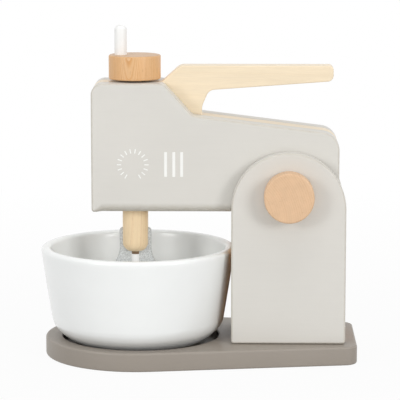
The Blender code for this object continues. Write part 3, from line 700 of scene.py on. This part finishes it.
# Top knob: a turned beech disc that sits on a thin washer and turns the beater. Its grain
# stands upright, so the side shows long pointed figures and the top shows rings.
low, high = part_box("top_knob")
knob_centre = ((low.x + high.x) / 2, 0, 0)
top_grain = bare_wood("beech_top_knob", (0.80, 0.50, 0.255), (0.65, 0.31, 0.095), (0.45, 0.22, 0.08),
                      heart=(mixer_x + 0.0094, 0.055, 0.25), turn=(1.4, -0.3, 0), spacing=0.00036,
                      wander=0.0006, contrast=1.0, flecks=0.3, gloss=0.42, end_tone=0.84)
top_knob = turned("top_knob_turned", disc_profile((high.x - low.x) / 2, low.z, high.z, knob_rim, knob_rim),
                  knob_segments, knob_centre)
stand_in_place(top_knob, top_grain, "mixer", "beech", "top_knob")
# The washer's dark brown is painted shade: it stands in for the shade in the gap under the knob.
nylon = painted("nylon", (0.16, 0.115, 0.075), (0.22, 0.17, 0.12), streaks=0.02, gloss=0.45, bump=0.2)
washer_rim = 0.0002
low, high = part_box("knob_washer")
washer_profile = disc_profile((high.x - low.x) / 2, low.z, high.z, washer_rim, washer_rim)
washer = turned("knob_washer_disc", washer_profile, segments=96, centre=knob_centre)
stand_in_place(washer, nylon, "mixer", "nylon", "knob_washer")


# Crank peg: a dowel with a rounded tip, lacquered white, glued off-centre into the top knob.
lacquer_worn = (0.95, 0.95, 0.94)
white_satin = painted("white_satin", (0.93, 0.93, 0.915), lacquer_worn, streaks=0.01, gloss=0.5,
                      bump=0.05)
peg_foot_rim = 0.0004
peg_tip_rim = 0.004
low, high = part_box("crank_peg")
peg_profile = disc_profile((high.x - low.x) / 2, low.z, high.z, peg_foot_rim, peg_tip_rim, steps=12)
peg = turned("crank_peg_lacquered", peg_profile, segments=96, centre=((low.x + high.x) / 2, 0, 0))
stand_in_place(peg, white_satin, "mixer", "white_paint", "crank_peg")


# Beater shaft: a thick bare dowel under the head with a well rounded tip. The blade fills its
# slot, so none is cut here. The grain runs down it in fine lines.
shaft_tip_rim = 0.0075
shaft_top_rim = 0.0003
low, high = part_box("beater_shaft")
shaft_profile = disc_profile((high.x - low.x) / 2, low.z, high.z, shaft_tip_rim, shaft_top_rim, steps=14)
shaft = turned("beater_shaft_turned", shaft_profile, segments=128, centre=(mixer_x, 0, 0))
stand_in_place(shaft, dowel_wood, "mixer", "dowel_wood", "beater_shaft")


# Beater blade: a thin plate of wood board in matt silver-grey paint, glued into the shaft's
# slot, and a short white rod down its middle, with a painted shadow in dark brown where it comes
# out of the shaft.
blade_neck_half, blade_hip_half, blade_toe_half = 0.0131, 0.029, 0.017
blade_neck_length = 0.0210
blade_hip_height = 0.020
blade_top_rounding, blade_shoulder_rounding = 0.0025, 0.018
blade_hip_rounding, blade_toe_rounding = 0.010, 0.009
blade_rim = 0.0005
rod_growth = 0.0003
rod_rim = 0.0012
# Painted shadow: dark brown on the rod's top, just under the shaft's tip, where the tip shades it.
rod_painted_shadow = (0.20, 0.12, 0.06)
shadow_length = 0.0022
shadow_fade = 0.0003
shaft_tip_z = low.z
low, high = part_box("beater_blade")
right_side = [(mixer_x + blade_neck_half, high.z, blade_top_rounding),
              (mixer_x + blade_neck_half, high.z - blade_neck_length, blade_shoulder_rounding),
              (mixer_x + blade_hip_half, low.z + blade_hip_height, blade_hip_rounding),
              (mixer_x + blade_toe_half, low.z, blade_toe_rounding)]
left_side = [(2 * mixer_x - x, z, radius) for x, z, radius in reversed(right_side)]
# The silver's rim colour is near black: painted shade along the blade's rounded rims.
silver = painted("silver_paint", (0.68, 0.70, 0.70), (0.20, 0.205, 0.205), streaks=0.10, gloss=0.42,
                 bump=0.35)
tree = silver.node_tree
shader = tree.nodes["Principled BSDF"]
shader.inputs["Metallic"].default_value = 0.15
grit = noise(tree, wired(tree, "TexCoord").outputs["Object"], scale=900.0, detail=1.0)
grit_value = wired(tree, "MapRange", [("Value", grit), ("From Min", 0.3), ("From Max", 0.7),
                                      ("To Min", 0.78), ("To Max", 1.16)]).outputs[0]
even_paint = shader.inputs["Base Color"].links[0].from_socket
speckled = wired(tree, "HueSaturation", [("Value", grit_value), ("Color", even_paint)]).outputs[0]
tree.links.new(speckled, shader.inputs["Base Color"])
blade = board("beater_blade_painted", right_side + left_side, low.y, high.y, blade_rim, blade_rim)
stand_in_place(blade, silver, "mixer", "silver_paint", "beater_blade")
low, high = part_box("beater_centre_rod")
rod_paint = painted("rod_white", (0.97, 0.97, 0.97), lacquer_worn, streaks=0.01, gloss=0.5, bump=0.05)
tree = rod_paint.node_tree
shader = tree.nodes["Principled BSDF"]
rod_level = wired(tree, "SeparateXYZ", [("Vector", wired(tree, "TexCoord").outputs["Object"])]).outputs["Z"]
# The painted shadow reaches down from the shaft's tip by its length, and fades in over a short way.
shadow_foot = shaft_tip_z - shadow_length
shadowed = wired(tree, "MapRange", [("Value", rod_level), ("From Min", shadow_foot - shadow_fade),
                                   ("From Max", shadow_foot)]).outputs[0]
lacquer = shader.inputs["Base Color"].links[0].from_socket
tree.links.new(mixed(tree, shadowed, lacquer, (*rod_painted_shadow, 1)), shader.inputs["Base Color"])
rod_profile = disc_profile((high.x - low.x) / 2 + rod_growth, low.z, high.z, rod_rim, rod_rim)
rod = turned("centre_rod_lacquered", rod_profile, segments=64, centre=(mixer_x, 0, 0))
stand_in_place(rod, rod_paint, "mixer", "white_paint", "beater_centre_rod")


# Mixing bowl: turned thick-walled wood in glossy white lacquer. The wall leans out in a slow
# curve from a rounded foot to a round rim, and the foot stands in the base's pocket.
white_lacquer = painted("white_lacquer", (0.925, 0.94, 0.93), lacquer_worn, streaks=0.008, gloss=0.34,
                        bump=0.02, coat=0.7, coat_gloss=0.16)
low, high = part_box("mixing_bowl")
rim_radius = (high.x - low.x) / 2
wall = 0.0074
foot_rounding = 0.043
heel_rounding = 0.019
belly_rounding = 0.3
bowl_edge = 0.003
foot_draw, heel_draw, belly_draw = 0.0277, 0.0095, 0.0039
heel_rise = 0.0172
belly_share = 0.663
past_axis = -0.02
bowl_chord, bowl_run = 0.0008, 0.004
axis_weight = 0.01
foot = (rim_radius - foot_draw, low.z)
heel = (rim_radius - heel_draw, low.z + heel_rise)
belly = (rim_radius - belly_draw, belly_share * high.z)


def inner_corner(before, corner, after, depth):
    """Corner of the outline that runs inside a corner's two edges, at an even depth."""
    ahead, onward = (np.subtract(corner, before), np.subtract(after, corner))
    side = np.array([-ahead[1], ahead[0]]) / np.hypot(*ahead)
    next_side = np.array([-onward[1], onward[0]]) / np.hypot(*onward)
    return np.array(corner) + (side + next_side) * depth / (1 + side @ next_side)


inner_foot = inner_corner((0, low.z), foot, heel, wall)
inner_heel = inner_corner(foot, heel, belly, wall)
section, _ = sawn_outline([(past_axis, low.z, 0), (*foot, foot_rounding), (*heel, heel_rounding),
                           (*belly, belly_rounding), (rim_radius, high.z - bowl_edge, 0),
                           (rim_radius, high.z, bowl_edge), (rim_radius - wall, high.z, bowl_edge),
                           (belly[0] - wall, belly[1], belly_rounding),
                           (*inner_heel, heel_rounding - wall), (*inner_foot, foot_rounding - wall),
                           (past_axis, low.z + wall, 0)], bowl_chord, bowl_run)
outside = section[section[:, 0] > 0]
first = int(np.argmin(np.abs(outside[:, 1] - low.z) + outside[:, 0] * axis_weight))
outside = np.roll(outside, -first, 0)
if outside[1, 1] > outside[-1, 1]:
    outside = np.roll(outside[::-1], 1, 0)
profile = np.concatenate([[(0, low.z)], outside, [(0, low.z + wall)]])
bowl = turned("mixing_bowl_lacquered", profile, segments=192, centre=(bowl_x, 0, 0))
stand_in_place(bowl, white_lacquer, "bowl", "white_paint", "mixing_bowl")


# Floor and light: a pale floor that keeps a soft shadow, a soft lamp to each side of the front, a
# wide one above and an even white surround, so that each finish shows at about the colour that it
# is written in.
floor_mesh = bpy.data.meshes.new("floor")
floor_half = 12.0
floor_grey = 0.62
near_glow, far_glow = 0.945, 1.0
near_reach, far_reach = 0.16, 0.9


def looked_at(tree):
    """1 on a ray from the camera, also after a mirror or glass, and 0 on a ray that lights a piece."""
    seen = wired(tree, "LightPath")
    return math_node(tree, "MAXIMUM", seen.outputs["Is Camera Ray"],
                     math_node(tree, "MAXIMUM", seen.outputs["Is Glossy Ray"],
                               seen.outputs["Is Transmission Ray"]))


floor_mesh.from_pydata([(-floor_half, -floor_half, 0), (floor_half, -floor_half, 0),
                        (floor_half, floor_half, 0), (-floor_half, floor_half, 0)], [], [(0, 1, 2, 3)])
floor = bpy.data.objects.new("floor", floor_mesh)
bpy.context.scene.collection.objects.link(floor)
floor_paint = bpy.data.materials.new("pale_floor")
floor_paint.use_nodes = True
tree = floor_paint.node_tree
shader = tree.nodes["Principled BSDF"]
shader.inputs["Base Color"].default_value = (floor_grey, floor_grey, floor_grey, 1)
shader.inputs["Roughness"].default_value = 0.8
shader.inputs["Specular IOR Level"].default_value = 0.1
straight = looked_at(tree)
away = wired(tree, "VectorMath", [(0, wired(tree, "TexCoord").outputs["Object"])],
             operation="LENGTH").outputs["Value"]
far_share = wired(tree, "MapRange", [("Value", away), ("From Min", near_reach), ("From Max", far_reach),
                                     ("To Min", near_glow), ("To Max", far_glow)]).outputs[0]
glow = wired(tree, "Emission", [("Color", (1, 1, 1, 1)), ("Strength", 1.0)])
blend_floor = wired(tree, "MixShader", [(0, math_node(tree, "MULTIPLY", straight, far_share)),
                                        (1, shader.outputs[0]), (2, glow.outputs[0])])
tree.links.new(blend_floor.outputs[0], tree.nodes["Material Output"].inputs["Surface"])
floor_mesh.materials.append(floor_paint)

surround = bpy.data.worlds.new("white_surround")
bpy.context.scene.world = surround
surround.use_nodes = True
tree = surround.node_tree
background = tree.nodes["Background"]
background.inputs["Color"].default_value = (1, 1, 1, 1)
surround_strength = 0.60
tree.links.new(math_node(tree, "MULTIPLY_ADD", looked_at(tree), 1.0 - surround_strength,
                         surround_strength), background.inputs["Strength"])


def soft_lamp(name, place, aim, size, power):
    """A square soft lamp at a place, turned to face a point."""
    lamp = bpy.data.lights.new(name, "AREA")
    lamp.energy = power
    lamp.size = size
    holder = bpy.data.objects.new(name, lamp)
    bpy.context.scene.collection.objects.link(holder)
    holder.location = place
    away = np.array(place, float) - np.array(aim, float)
    holder.rotation_mode = "XYZ"
    holder.rotation_euler = (math.atan2(math.hypot(away[0], away[1]), away[2]), 0,
                             math.atan2(away[0], -away[1]))
    return holder


middle_of_toy = (0, 0, 0.12)
soft_lamp("left_lamp", (-1.45, -1.65, 0.75), middle_of_toy, size=0.7, power=11.5)
soft_lamp("right_lamp", (1.45, -1.65, 0.75), middle_of_toy, size=0.7, power=15.0)
soft_lamp("top_lamp", (0.0, -0.3, 1.9), middle_of_toy, size=1.6, power=6.5)


# Camera: a long lens from the front, a little above the toy, as in the photograph.
lens = bpy.data.cameras.new("camera")
lens.sensor_width = 36.0
lens.lens = 199.68
lens.clip_end = 60.0
camera = bpy.data.objects.new("camera", lens)
bpy.context.scene.collection.objects.link(camera)
camera.location = (0.03157, -1.81592, 0.41679)
downward_tilt, sideways_turn = 9.02, 0.955
camera.rotation_euler = (math.radians(90 - downward_tilt), 0, math.radians(sideways_turn))
bpy.context.scene.camera = camera
bpy.context.scene.view_settings.view_transform = "Standard"
